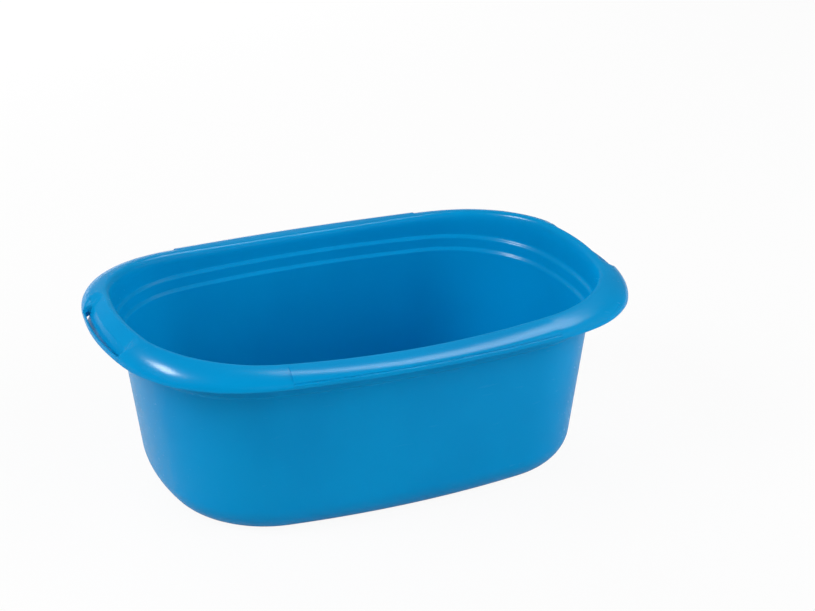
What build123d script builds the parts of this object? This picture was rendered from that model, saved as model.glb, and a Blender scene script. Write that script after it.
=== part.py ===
from build123d import *
import os
from math import asin, atan2, copysign, cos, degrees, radians, sin, sqrt

# Oval washing-up bowl, moulded in one colour of polypropylene.
# Millimetres. +Z is up, +X runs along the length. The origin lies at the middle
# of the face that the bowl stands on.
# The moulding is cut into five pieces along lines that show on it: the crisp inner
# edge of the rim, and the four witness lines that the mould leaves across the rim.

# Opening: the crisp edge where the wall turns over into the rim
opening_length = 378.0
opening_width = 240.0
opening_corner_radius = 93.0
rim_height = 141.0
end_rise = 9.2

# Foot: the lowest outline of the drafted wall, before its edge is rounded
base_length = 325.6
base_width = 216.8
base_corner_radius = 79.0
base_edge_radius = 23.8

# Directions of the outward normal, in degrees, where the end arc meets the corner
# arc and where the corner arc meets the side arc. Every outline shares them.
end_arc_angle = 9.5
side_arc_angle = 82.0

# Wall: its outside, carried straight up to the rim's height, would stop this far
# inside the opening. Two steps and a flared neck make up the difference. The steps
# and the neck are placed by how far they lie below the inner rim edge.
wall_thickness = 2.0
wall_inset = 6.4
lower_step_drop = 26.3
upper_step_drop = 16.4
step_rise = 2.2
step_width = 2.3
neck_drop = 4.4

# Floor, the low ring that the bowl stands on, and the pad left by the mould's gate
floor_thickness = 2.4
foot_ring_height = 1.2
foot_ring_width = 5.0
gate_pad_diameter = 14.0
gate_pad_height = 0.7

# Rolled rim, whose skirt ends level, this far below the inner edge at mid-length
rim_width = 19.6
rim_thickness = 2.0
skirt_drop = 7.7
seam_depth = 2.6
seam_clearance = 0.8
side_fullness_share = 0.5
end_fullness_share = 0.47

# Direction of the outward normal where a witness line crosses the rim
witness_line_angle = 82.45

# Hem: an upright band along the lower edge of the two long sides
hem_height = 3.1
hem_ledge = 1.5

# Finger grips: a scoop in the rolled rim at each end, a slot and a thin outer lip.
# The scoop's ends lean out by the flare from its nose up to the rim's crest.
grip_length = 86.0
grip_flare = 5.0
grip_wall = 2.0
scoop_start = 0.8
scoop_nose_out = 8.5
scoop_nose_drop = 8.1
scoop_nose_radius = 1.6
slot_inner_edge = 9.8
slot_width = 5.0
lip_thickness = 1.8
lip_height = 2.9

# Cutting solids run past what they cut by this much
overrun = 6.0

# Angles between neighbouring sections of the rim, in degrees, and the number of
# flats across the hidden side of its roll. Past the walls of a grip its sections go on
# for this far along the opening.
side_section_step = 4.0
corner_section_step = 7.25
grip_section_step = 3.5
flats_under_roll = 3
grip_section_margin = 3.3

opening = (opening_length / 2, opening_width / 2, opening_corner_radius)
base = (base_length / 2, base_width / 2, base_corner_radius)
skirt_height = rim_height - skirt_drop
neck_height = rim_height - neck_drop
end_height = rim_height + end_rise
rise_radius = (opening[0] ** 2 + end_rise**2) / (2 * end_rise)
reach = opening[0] + rim_width + overrun


def grown(size, amount):
    """Outline that runs parallel to another one, further out by the amount."""
    return tuple(length + amount for length in size)


def arc_radii(size):
    """Radii of the end arc and of the side arc of an outline.

    An outline is given by its half length, half width and corner radius. Its three
    arcs are tangent, so the corner arc's centre can be reached from both others.
    That gives two linear equations for the two radii.
    """
    half_length, half_width, corner = size
    end_x, end_y = cos(radians(end_arc_angle)), sin(radians(end_arc_angle))
    side_x, side_y = cos(radians(side_arc_angle)), sin(radians(side_arc_angle))
    along = half_length - corner * (end_x - side_x)
    across = half_width - corner * (side_y - end_y)
    scale = (1 - end_x) * (1 - side_y) - side_x * end_y
    end_radius = (along * (1 - side_y) - across * side_x) / scale
    side_radius = (across * (1 - end_x) - along * end_y) / scale
    return end_radius, side_radius


def outline_point(size, angle):
    """Point of an outline whose outward normal has the given direction in degrees."""
    half_length, half_width, corner = size
    end_radius, side_radius = arc_radii(size)
    normal_x, normal_y = cos(radians(angle)), sin(radians(angle))
    lean = degrees(atan2(abs(normal_y), abs(normal_x)))
    if lean < end_arc_angle:
        x = half_length - end_radius + end_radius * abs(normal_x)
        y = end_radius * abs(normal_y)
    elif lean < side_arc_angle:
        reach = end_radius - corner
        centre_x = half_length - end_radius + reach * cos(radians(end_arc_angle))
        x = centre_x + corner * abs(normal_x)
        y = reach * sin(radians(end_arc_angle)) + corner * abs(normal_y)
    else:
        x = side_radius * abs(normal_x)
        y = half_width - side_radius + side_radius * abs(normal_y)
    return copysign(x, normal_x), copysign(y, normal_y)


def draw_outline(size):
    """Draw an outline of eight tangent arcs in the open line builder."""
    turns = []
    for quarter_start in (0, 180):
        turns.append(quarter_start - end_arc_angle)
        turns.append(quarter_start + end_arc_angle)
        turns.append(quarter_start + side_arc_angle)
        turns.append(quarter_start + 180 - side_arc_angle)
    turns.append(360 - end_arc_angle)
    for start, end in zip(turns, turns[1:]):
        middle = (start + end) / 2
        ThreePointArc(*(outline_point(size, angle) for angle in (start, middle, end)))


def outline_sketch(height, size):
    """Outline at a height, filled."""
    with BuildSketch(Plane.XY.offset(height)) as outline:
        with BuildLine():
            draw_outline(size)
        make_face()
    return outline.sketch


def wall_outline(height, outward):
    """Outline of the drafted wall at a height, moved outward by the given amount."""
    share = height / rim_height
    top = grown(opening, -wall_inset)
    size = tuple(low + (high - low) * share for low, high in zip(base, top))
    return grown(size, outward)


def wall_sketches(bottom, outward, neck):
    """Outlines of the wall from its foot up: plain wall, two steps and the neck."""
    sketches = [outline_sketch(bottom, wall_outline(bottom, outward))]
    for count, drop in enumerate((lower_step_drop, upper_step_drop)):
        height = rim_height - drop
        shift = outward + count * step_width
        above = height + step_rise
        sketches.append(outline_sketch(height, wall_outline(height, shift)))
        sketches.append(outline_sketch(above, wall_outline(above, shift + step_width)))
    for height in (neck_height, end_height + overrun):
        sketches.append(outline_sketch(height, grown(opening, neck)))
    return sketches


def edge_height(x):
    """Height of the inner rim edge at a place along the length: one long arc."""
    return rim_height + rise_radius - sqrt(rise_radius**2 - x**2)


def draw_grip_window(margin):
    """Region over a grip, seen from its end, with the given margin all round."""
    foot = grip_length / 2 + margin
    crest = foot + grip_flare
    low, high = skirt_height - overrun, end_height + overrun
    nose_height = end_height - scoop_nose_drop
    Polyline((-foot, low), (foot, low), (foot, nose_height), (crest, end_height), (crest, high))
    Polyline((crest, high), (-crest, high), (-crest, end_height), (-foot, nose_height), (-foot, low))


def draw_seam_region(far_height):
    """Region between the seam, seen from the side, and the given height."""
    low = rim_height - seam_depth
    high = edge_height(reach) - seam_depth
    ThreePointArc((-reach, high), (0, low), (reach, high))
    Polyline((reach, high), (reach, far_height), (-reach, far_height), (-reach, high))


def section_plane(angle):
    """Upright plane across the rim: x points outward and y up from the inner edge."""
    x, y = outline_point(opening, angle)
    outward = (cos(radians(angle)), sin(radians(angle)), 0)
    along = (sin(radians(angle)), -cos(radians(angle)), 0)
    return Plane(origin=(x, y, edge_height(x)), x_dir=outward, z_dir=along)


def direction_at(distance):
    """Direction of the normal where the opening is this far from its long middle line."""
    end_radius = arc_radii(opening)[0]
    arc_end = end_radius * sin(radians(end_arc_angle))
    if distance < arc_end:
        return degrees(asin(distance / end_radius))
    past_end = distance - arc_end + opening_corner_radius * sin(radians(end_arc_angle))
    return degrees(asin(past_end / opening_corner_radius))


def roll_handles(start, end, fullness):
    """Control points of a quarter roll that starts level and ends upright."""
    out, up = end[0] - start[0], end[1] - start[1]
    shoulder = (start[0] + out * fullness, start[1])
    flank = (end[0], end[1] - up * fullness)
    return [start, shoulder, flank, end]


def roll_facets(start, end, fullness):
    """Corners of the flats that stand for a quarter roll on its hidden side."""
    handles = roll_handles(start, end, fullness)
    corners = []
    for part in range(flats_under_roll + 1):
        share = part / flats_under_roll
        blends = [(1 - share) ** 3, 3 * share * (1 - share) ** 2, 3 * share**2 * (1 - share), share**3]
        x = sum(blend * handle[0] for blend, handle in zip(blends, handles))
        y = sum(blend * handle[1] for blend, handle in zip(blends, handles))
        corners.append((x, y))
    return corners


def draw_rim_body(drop, hem):
    """Section of the rim with its hollow still filled, down to the skirt's edge."""
    if hem:
        flank = (rim_width - hem_ledge, hem_height - drop)
        Bezier(*roll_handles((0, 0), flank, side_fullness_share))
        Polyline(flank, (rim_width, hem_height - drop), (rim_width, -drop), (0, -drop), (0, 0))
    else:
        Bezier(*roll_handles((0, 0), (rim_width, -drop), end_fullness_share))
        Polyline((rim_width, -drop), (0, -drop), (0, 0))


def draw_rim_hollow(drop, hem):
    """Section of the channel under the rim, open at the bottom."""
    crown = (wall_thickness, -rim_thickness)
    foot = (rim_width - rim_thickness, -drop)
    below = -drop - overrun
    if hem:
        flank = (foot[0] - hem_ledge, hem_height - drop)
        corners = roll_facets(crown, flank, side_fullness_share) + [foot]
    else:
        corners = roll_facets(crown, foot, end_fullness_share)
    Polyline(*corners, (foot[0], below), (crown[0], below), close=True)


def rim_sections(angles, draw_section, hem):
    """Sections across the rim in the given directions, all of the same kind."""
    sections = []
    for angle in angles:
        plane = section_plane(angle)
        with BuildSketch(plane) as section:
            with BuildLine():
                draw_section(plane.origin.Z - skirt_height, hem)
            make_face()
        sections.append(section.sketch)
    return sections


def scoop_corners(drop):
    """Corners of the region that a grip takes away, without the lip."""
    below = -drop - overrun
    gradient = (scoop_nose_out - scoop_start) / scoop_nose_drop
    return [
        (scoop_start - overrun * gradient, overrun),
        (scoop_nose_out, -scoop_nose_drop),
        (slot_inner_edge, below),
        (rim_width + overrun, below),
        (rim_width + overrun, overrun),
    ]


def lip_corners(drop):
    """Corners of the lip that stays standing outside the slot."""
    inner = slot_inner_edge + slot_width
    outer = inner + lip_thickness
    low, high = -drop - overrun, lip_height - drop
    return [(inner, low), (inner, high), (outer, high), (outer, low)]


def evenly(first, last, step):
    """Directions from the first to the last in equal parts of about the given step."""
    count = round((last - first) / step)
    return [first + (last - first) * part / count for part in range(count + 1)]


def mirrored(angles):
    """Directions on both sides of the bowl's end, from those on one side."""
    return [-angle for angle in reversed(angles) if angle > 0] + angles


# Directions of the sections: the long side, half of the end, and the grip alone
side_angles = evenly(side_arc_angle, 180 - side_arc_angle, side_section_step)
end_arc_angles = evenly(0, end_arc_angle, end_arc_angle / 2)
corner_angles = evenly(end_arc_angle, side_arc_angle, corner_section_step)[1:]
past_corner = side_arc_angle + side_section_step / 2
past_middle = -end_arc_angle / 2
end_angles = [past_middle] + end_arc_angles + corner_angles + [past_corner]
grip_reach = grip_length / 2 + grip_flare + grip_wall + grip_section_margin
past_end_arc = evenly(end_arc_angle, direction_at(grip_reach), grip_section_step)[1:]
grip_angles = mirrored(end_arc_angles + past_end_arc)

# Spaces below and above the seam under the rim
with BuildPart() as below_seam:
    with BuildSketch(Plane.XZ):
        with BuildLine():
            draw_seam_region(-overrun)
        make_face()
    extrude(amount=reach, both=True)

with BuildPart() as above_seam:
    with BuildSketch(Plane.XZ):
        with BuildLine():
            draw_seam_region(end_height + end_rise + overrun)
        make_face()
    extrude(amount=reach, both=True)

# Tub: floor, drafted wall with two steps, and the neck that carries the rim
with BuildPart() as tub_cavity:
    loft(wall_sketches(foot_ring_height + floor_thickness, -wall_thickness, 0), ruled=True)
    fillet(tub_cavity.edges().group_by(Axis.Z)[0], radius=base_edge_radius - wall_thickness)

with BuildPart() as tub_shell:
    loft(wall_sketches(0, 0, wall_thickness), ruled=True)
    fillet(tub_shell.edges().group_by(Axis.Z)[0], radius=base_edge_radius)
    add(tub_cavity.part, mode=Mode.SUBTRACT)
    add(above_seam.part, mode=Mode.SUBTRACT)
    with BuildSketch():
        with BuildLine():
            draw_outline(grown(base, -base_edge_radius - foot_ring_width))
        make_face()
    extrude(amount=foot_ring_height, mode=Mode.SUBTRACT)
    with BuildSketch(Plane.XY.offset(foot_ring_height - gate_pad_height)):
        Circle(gate_pad_diameter / 2)
    extrude(amount=gate_pad_height)

# Space inside the wall's outside below the seam, which the rim leaves to the tub
with BuildPart() as seat:
    with BuildSketch(Plane.XY.offset(neck_height - overrun)):
        with BuildLine():
            draw_outline(grown(opening, wall_thickness + seam_clearance))
        make_face()
    extrude(amount=2 * overrun + end_rise)
    add(below_seam.part, mode=Mode.INTERSECT)

# Rim of the long sides, with its hem
with BuildPart() as side_hollow:
    loft(rim_sections(side_angles, draw_rim_hollow, True))

with BuildPart() as rim_back:
    loft(rim_sections(side_angles, draw_rim_body, True))
    add(side_hollow.part, mode=Mode.SUBTRACT)
    add(seat.part, mode=Mode.SUBTRACT)
    split(bisect_by=section_plane(witness_line_angle), keep=Keep.BOTTOM)
    split(bisect_by=section_plane(180 - witness_line_angle), keep=Keep.TOP)

with BuildPart() as rim_front:
    add(mirror(rim_back.part, about=Plane.XZ))

# Rim of the ends: the scoop takes the roll away over the grip, and the channel
# under the rim stops at the grip's own walls
with BuildPart() as scoop:
    for angle in grip_angles:
        plane = section_plane(angle)
        drop = plane.origin.Z - skirt_height
        with BuildSketch(plane) as scoop_section:
            with BuildLine():
                Polyline(*scoop_corners(drop), close=True)
            make_face()
            nose = scoop_section.vertices().sort_by_distance((scoop_nose_out, -scoop_nose_drop))
            fillet(nose[0], radius=scoop_nose_radius)
            with BuildLine():
                Polyline(*lip_corners(drop), close=True)
            make_face(mode=Mode.SUBTRACT)
    loft()
    with BuildSketch(Plane.YZ):
        with BuildLine():
            draw_grip_window(0)
        make_face()
    extrude(amount=reach, mode=Mode.INTERSECT)

with BuildPart() as grip_walls:
    for angle in grip_angles:
        plane = section_plane(angle)
        with BuildSketch(plane):
            with BuildLine():
                Polyline(*scoop_corners(plane.origin.Z - skirt_height), close=True)
            make_face()
            offset(amount=grip_wall, kind=Kind.INTERSECTION)
    loft()
    with BuildSketch(Plane.YZ):
        with BuildLine():
            draw_grip_window(grip_wall)
        make_face()
    extrude(amount=reach, mode=Mode.INTERSECT)

with BuildPart() as end_hollow:
    loft(rim_sections(end_angles, draw_rim_hollow, False))
    add(grip_walls.part, mode=Mode.SUBTRACT)

with BuildPart() as rim_grip_right:
    loft(rim_sections(end_angles, draw_rim_body, False))
    add(end_hollow.part, mode=Mode.SUBTRACT)
    add(seat.part, mode=Mode.SUBTRACT)
    add(scoop.part, mode=Mode.SUBTRACT)
    split(bisect_by=section_plane(witness_line_angle), keep=Keep.TOP)
    split(bisect_by=Plane.XZ, keep=Keep.BOTTOM)
    mirror(about=Plane.XZ)

with BuildPart() as rim_grip_left:
    add(mirror(rim_grip_right.part, about=Plane.YZ))

tub_shell.part.label = "tub_shell"
rim_front.part.label = "rim_front"
rim_back.part.label = "rim_back"
rim_grip_left.part.label = "rim_grip_left"
rim_grip_right.part.label = "rim_grip_right"

os.makedirs("parts", exist_ok=True)
export_step(tub_shell.part, "parts/tub_shell.step")
export_step(rim_front.part, "parts/rim_front.step")
export_step(rim_back.part, "parts/rim_back.step")
export_step(rim_grip_left.part, "parts/rim_grip_left.step")
export_step(rim_grip_right.part, "parts/rim_grip_right.step")
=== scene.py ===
"""Looks of an oval washing-up bowl, moulded in one blue plastic.

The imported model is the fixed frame. Each of its five nodes is replaced by a surface of
the same shape with rounded edges, soft transitions at the finger grips and a moulded
finish. Lengths in the classes are millimetres; they become metres when a mesh is made.
"""

import logging
import math
from dataclasses import dataclass
from enum import Enum

import bpy
import numpy as np
from mathutils import Matrix, Vector


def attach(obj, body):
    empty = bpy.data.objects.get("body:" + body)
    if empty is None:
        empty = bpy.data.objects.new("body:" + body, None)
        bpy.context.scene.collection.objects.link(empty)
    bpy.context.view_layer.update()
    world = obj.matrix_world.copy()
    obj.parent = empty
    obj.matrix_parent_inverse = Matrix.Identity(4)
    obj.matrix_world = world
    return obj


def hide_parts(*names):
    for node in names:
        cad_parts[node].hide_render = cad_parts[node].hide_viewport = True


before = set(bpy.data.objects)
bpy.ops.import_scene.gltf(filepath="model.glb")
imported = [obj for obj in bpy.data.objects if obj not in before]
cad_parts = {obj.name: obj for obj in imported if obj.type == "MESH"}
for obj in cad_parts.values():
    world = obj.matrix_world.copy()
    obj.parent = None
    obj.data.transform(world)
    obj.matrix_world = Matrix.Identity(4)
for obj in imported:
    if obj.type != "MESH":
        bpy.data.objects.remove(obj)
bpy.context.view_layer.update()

LOG = logging.getLogger("bowl")
METRES = 0.001
TINY = 1e-12
NEARLY_STRAIGHT = 0.999999
# Parts of the rim's section. The natural and the scooped one share them, row for row.
CORNER_STEPS = 4
ROLL_STEPS = 34
HIDDEN_STEPS = 18
INSIDE_STEPS = 16
UP = np.array([0.0, 0.0, 1.0])
WHITE = (1.0, 1.0, 1.0, 1.0)
# Sockets of a Mix node that mixes colours.
MIX_SHARE, MIX_FIRST, MIX_SECOND, MIX_COLOUR = 0, 6, 7, 2
Array = np.ndarray
Span = tuple[float, float]


# Outlines and sections

@dataclass(frozen=True)
class Oval:
    """Outline of eight tangent arcs, named by the direction of its outward normal."""

    half_length: float
    half_width: float
    corner: float
    end_arc: float = math.radians(9.5)
    side_arc: float = math.radians(82.0)

    def grown(self, amount: float) -> "Oval":
        """Return the outline that runs parallel to this one, further out."""
        sizes = (size + amount for size in (self.half_length, self.half_width, self.corner))
        return Oval(*sizes, self.end_arc, self.side_arc)

    def radii(self) -> Span:
        """Return the radii of the end arc and the side arc.

        Both follow from the tangency of the arcs: the corner arc's centre is reached
        from the end arc's centre and from the side arc's centre.

        Returns:
            Radius of the end arc and radius of the side arc.
        """
        end_x, end_y = math.cos(self.end_arc), math.sin(self.end_arc)
        side_x, side_y = math.cos(self.side_arc), math.sin(self.side_arc)
        along = self.half_length - self.corner * (end_x - side_x)
        across = self.half_width - self.corner * (side_y - end_y)
        scale = (1 - end_x) * (1 - side_y) - side_x * end_y
        end = (along * (1 - side_y) - across * side_x) / scale
        side = (across * (1 - end_x) - along * end_y) / scale
        return end, side

    def points(self, turns: Array) -> Array:
        """Return the outline's points at some normal directions.

        Each point is its arc's centre plus the arc's radius along the normal.

        Args:
            turns: normal directions in radians, shape (n,).

        Returns:
            Points in the plane z = 0, shape (n, 3).
        """
        end, side = self.radii()
        reach = end - self.corner
        x = self.by_arc(turns, self.half_length - end,
                        self.half_length - end + reach * math.cos(self.end_arc), 0.0)
        y = self.by_arc(turns, 0.0, reach * math.sin(self.end_arc), self.half_width - side)
        centre = np.stack([x, y, np.zeros_like(turns)], axis=1)
        normal = outward(turns)
        return np.copysign(centre + self.bend(turns)[:, None] * np.abs(normal), normal)

    def bend(self, turns: Array) -> Array:
        """Return the radius of the arc at each normal direction."""
        end, side = self.radii()
        return self.by_arc(turns, end, self.corner, side)

    def by_arc(self, turns: Array, end: float, corner: float, side: float) -> Array:
        """Return one of three values, by the arc that each direction lies on."""
        lean = lean_angle(turns)
        return np.select([lean < self.end_arc, lean < self.side_arc], [end, corner], side)


def lean_angle(turns: Array) -> Array:
    """Return how far directions lean from the X axis, from 0 to a quarter turn."""
    return np.arctan2(np.abs(np.sin(turns)), np.abs(np.cos(turns)))


def outward(turns: Array) -> Array:
    """Return the unit normals of an outline, shape (n, 3)."""
    return np.stack([np.cos(turns), np.sin(turns), np.zeros_like(turns)], axis=1)


def along(turns: Array) -> Array:
    """Return the unit tangents of an outline, a quarter turn on from the normals."""
    return np.stack([-np.sin(turns), np.cos(turns), np.zeros_like(turns)], axis=1)


def smooth(low: float | Array, high: float | Array, value: Array) -> Array:
    """Return the cubic step that rises from 0 at low to 1 at high."""
    share = np.clip((value - low) / (high - low), 0.0, 1.0)
    return share * share * (3.0 - 2.0 * share)


def unit(vectors: Array) -> Array:
    """Return vectors scaled to length one along their last axis."""
    return vectors / np.maximum(np.linalg.norm(vectors, axis=-1, keepdims=True), TINY)


def pair(first: float | Array, second: float | Array, count: int) -> Array:
    """Return points of a section, one per column, from two coordinates."""
    return np.stack([np.broadcast_to(first, (count,)), np.broadcast_to(second, (count,))], axis=1)


def round_corner(before: Array, corner: Array, after: Array, radius: float, steps: int) -> Array:
    """Return the rows of an arc that rounds a corner, for every column at once.

    The arc's centre lies on the bisector at radius / sin(half the corner's angle). Its
    points are turned evenly from one touching point to the other.

    Args:
        before: points that the corner is reached from, shape (columns, d).
        corner: the corner itself.
        after: points that the corner leads to.
        radius: radius of the arc.
        steps: number of parts of the arc.

    Returns:
        Rows of the arc, shape (columns, steps + 1, d).
    """
    back, on = unit(before - corner), unit(after - corner)
    cosine = np.sum(back * on, axis=1, keepdims=True)
    cosine = np.clip(cosine, -NEARLY_STRAIGHT, NEARLY_STRAIGHT)
    half = np.arccos(cosine) / 2
    centre = corner + unit(back + on) * radius / np.sin(half)
    start = corner + back * radius / np.tan(half) - centre
    stop = corner + on * radius / np.tan(half) - centre
    return centre[:, None] + swing(start, stop, math.pi - 2 * half, steps)


def swing(start: Array, stop: Array, angle: Array, steps: int) -> Array:
    """Return rows of spokes turned evenly from start to stop, which enclose an angle.

    A spoke is start and stop, weighted by the sines of the angles that lie behind and
    ahead of it, over the sine of the whole angle.

    Args:
        start: first spokes, from the arc's centre.
        stop: last spokes.
        angle: angle between them, shape (columns, 1).
        steps: number of parts of the arc.

    Returns:
        Rows of spokes, shape (columns, steps + 1, d).
    """
    share = np.linspace(0.0, 1.0, steps + 1)[None, :, None]
    whole = angle[:, :, None]
    spread = np.sin((1 - share) * whole) * start[:, None] + np.sin(share * whole) * stop[:, None]
    return spread / np.sin(whole)


def straight(start: Array, stop: Array, lead: float, parts: int = 1, most: float = 0.3) -> Array:
    """Return rows between two points, with one close to each, and without both ends.

    Args:
        start: first points, shape (columns, d).
        stop: last points.
        lead: distance of the close rows from the ends.
        parts: number of parts that the rest is divided into.
        most: largest share of the length that a lead may take.

    Returns:
        Rows strictly between the ends, shape (columns, parts + 1, d).
    """
    length = np.linalg.norm(stop - start, axis=1, keepdims=True)
    near = np.minimum(lead / np.maximum(length, TINY), most)
    shares = near + (1 - 2 * near) * np.linspace(0.0, 1.0, parts + 1)[None, :]
    return start[:, None] + (stop - start)[:, None] * shares[:, :, None]


def cubic(points: tuple[Array, Array, Array, Array], shares: Array) -> Array:
    """Return rows at some shares along the Bezier cubic of four points per column.

    Args:
        points: each column's four points.
        shares: places along the curve, from 0 to 1.

    Returns:
        Rows, shape (columns, len(shares), d).
    """
    t = shares[None, :, None]
    weights = (1 - t) ** 3, 3 * t * (1 - t) ** 2, 3 * t**2 * (1 - t), t**3
    return sum(weight * point[:, None] for weight, point in zip(weights, points))


def roll(start: Array, stop: Array, fullness: float, slope: float, steps: int) -> Array:
    """Return rows of a cubic that leaves start and reaches stop upright.

    Its handles reach the given share of the way out from start and up from stop. It
    leaves start level where slope is 0 and straight at stop where it is 1.

    Args:
        start: points at the crest, shape (columns, 2).
        stop: points at the skirt.
        fullness: share of the way that the handles reach.
        slope: 0 to leave start level, 1 to leave it straight at stop.
        steps: number of parts of the curve.

    Returns:
        Rows, shape (columns, steps + 1, 2).
    """
    shoulder = start + (stop - start) * np.array([fullness, fullness * slope])
    flank = stop + (start - stop) * np.array([0.0, fullness])
    return cubic((start, shoulder, flank, stop), np.linspace(0.0, 1.0, steps + 1))


def spread_turns(start: float, stop: float, oval: Oval, step: float, fine: float,
                 zones: tuple[Span, ...], blur: float = math.radians(1.5),
                 samples: int = 4001) -> Array:
    """Return directions spaced evenly along an outline, closer together in some zones.

    The count of columns grows with the integral of arc radius over step length, and
    that running sum is turned round by interpolation.

    Args:
        start: first direction in radians.
        stop: last direction.
        oval: outline to space along.
        step: usual distance between columns.
        fine: distance inside the zones.
        zones: pairs of directions, the zones' ends.
        blur: angle over which the distance changes outside each zone.
        samples: number of places at which the integral is taken.

    Returns:
        Directions from start to stop, both included.
    """
    dense = np.linspace(start, stop, samples)
    length = np.full_like(dense, step)
    for low, high in zones:
        inside = smooth(low - blur, low, dense) * (1 - smooth(high, high + blur, dense))
        length = length * (fine / step) ** inside
    rate = oval.bend(dense) / length
    total = np.concatenate([[0.0], np.cumsum((rate[1:] + rate[:-1]) / 2 * np.diff(dense))])
    count = max(2, int(math.ceil(total[-1])))
    return np.interp(np.linspace(0.0, total[-1], count + 1), total, dense)


# Meshes

@dataclass
class Skin:
    """A surface of rows carried along columns, as a mesh with smooth normals.

    points has the shape (columns, rows, 3). Travel along the rows, seen from outside,
    has the next column on its left, so that tangent of columns cross travel points out.
    The first and the last column serve the differences alone and get no faces. The skin
    either goes round the bowl, with its first and last row closed on the axis, or is a
    strip whose rows form a ring, with both ends closed flat.
    """

    points: Array
    turns: Array
    creases: Array
    round_bowl: bool = False

    def normals(self) -> tuple[Array, Array]:
        """Return the normals before and after each row.

        The direction along the columns and the one along the rows come from second
        order differences. At a crease the one along the rows comes from one side only.

        Returns:
            Two arrays of unit vectors with the shape of points.
        """
        around = np.gradient(self.points, self.turns, axis=0, edge_order=2)
        rows = self.points
        if not self.round_bowl:
            rows = np.concatenate([rows[:, -1:], rows, rows[:, :1]], axis=1)
        chord = np.diff(rows, axis=1)
        if self.round_bowl:
            chord = np.concatenate([chord[:, :1], chord, chord[:, -1:]], axis=1)
        length = np.maximum(np.linalg.norm(chord, axis=2, keepdims=True), TINY)
        slope = chord / length
        before, after = slope[:, :-1], slope[:, 1:]
        short, long = length[:, :-1], length[:, 1:]
        middle = (before * long + after * short) / (short + long)
        crease = self.creases[None, :, None]
        before = np.where(crease, before, middle)
        after = np.where(crease, after, middle)
        return unit(np.cross(around, before)), unit(np.cross(around, after))

    def arrays(self) -> tuple[Array, list[Array], list[Array]]:
        """Return vertices, faces and the normals of the faces' corners.

        Returns:
            Vertices, and two lists with an array for each kind of face: the vertices of its
            corners and the normals there.
        """
        used = slice(1, -2 if self.round_bowl else -1)
        points = self.points[used]
        before, after = (bend[used] for bend in self.normals())
        columns, rows = points.shape[:2]
        index = np.arange(columns * rows).reshape(columns, rows)
        here = np.arange(columns if self.round_bowl else columns - 1)
        there = (here + 1) % columns
        low = np.arange(rows - 1 if self.round_bowl else rows)
        high = (low + 1) % rows
        ways = ((here, low), (there, low), (there, high), (here, high))
        quads = np.stack([index[np.ix_(*way)] for way in ways], axis=-1).reshape(-1, 4)
        bends = [bend[np.ix_(*way)] for bend, way in zip((after, after, before, before), ways)]
        corner = np.stack(bends, axis=2).reshape(-1, 4, 3)
        places, faces, normals = [points.reshape(-1, 3)], [quads], [corner]
        if self.round_bowl:
            for row, side in ((0, -1), (rows - 1, 1)):
                rim = index[:, row]
                hub = np.full(columns, columns * rows + len(places) - 1)
                faces.append(np.stack([rim, np.roll(rim, -1), hub][::side], axis=1))
                normals.append(np.broadcast_to(side * UP, (columns, 3, 3)))
                places.append(points[:1, row] * UP)
        else:
            for cap, place in ((index[0], points[0]), (index[-1][::-1], points[-1][::-1])):
                flat = unit(np.cross(place, np.roll(place, -1, axis=0)).sum(axis=0))
                faces.append(cap[None, :])
                normals.append(np.broadcast_to(flat, (1, rows, 3)))
        return np.concatenate(places), faces, normals


def make_piece(name: str, node: str, skins: list[Skin],
               material: bpy.types.Material) -> bpy.types.Object:
    """Return a dressed object at the origin that stands for a node of the frame.

    Args:
        name: the piece's name.
        node: the node that it replaces.
        skins: surfaces to put into its mesh, in millimetres.
        material: its finish.

    Returns:
        The new object, linked to the scene.
    """
    places, loops, starts, normals = [], [], [], []
    offset, corner = 0, 0
    for skin in skins:
        points, faces, bends = skin.arrays()
        places.append(points)
        for face, bend in zip(faces, bends):
            count, sides = face.shape
            loops.append((face + offset).ravel())
            starts.append(corner + np.arange(count) * sides)
            normals.append(bend.reshape(-1, 3))
            corner += count * sides
        offset += len(points)
    vertices = np.concatenate(places) * METRES
    indices = np.concatenate(loops)
    begins = np.concatenate(starts)
    mesh = bpy.data.meshes.new(name)
    mesh.vertices.add(len(vertices))
    mesh.vertices.foreach_set("co", vertices.astype(np.float32).ravel())
    mesh.loops.add(len(indices))
    mesh.loops.foreach_set("vertex_index", indices.astype(np.int32))
    mesh.polygons.add(len(begins))
    mesh.polygons.foreach_set("loop_start", begins.astype(np.int32))
    mesh.update(calc_edges=True)
    mesh.validate(verbose=False)
    mesh.shade_smooth()
    mesh.normals_split_custom_set(np.concatenate(normals).astype(np.float32))
    mesh.materials.append(material)
    piece = add_object(name, mesh)
    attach(piece, "root")
    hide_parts(node)
    return piece


def add_object(name: str, data: bpy.types.ID) -> bpy.types.Object:
    """Return a new object at the origin, linked to the scene.

    Args:
        name: the object's name.
        data: its mesh, lamp or camera.

    Returns:
        The new object.
    """
    made = bpy.data.objects.new(name, data)
    bpy.context.scene.collection.objects.link(made)
    return made


# Shader maths

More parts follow.
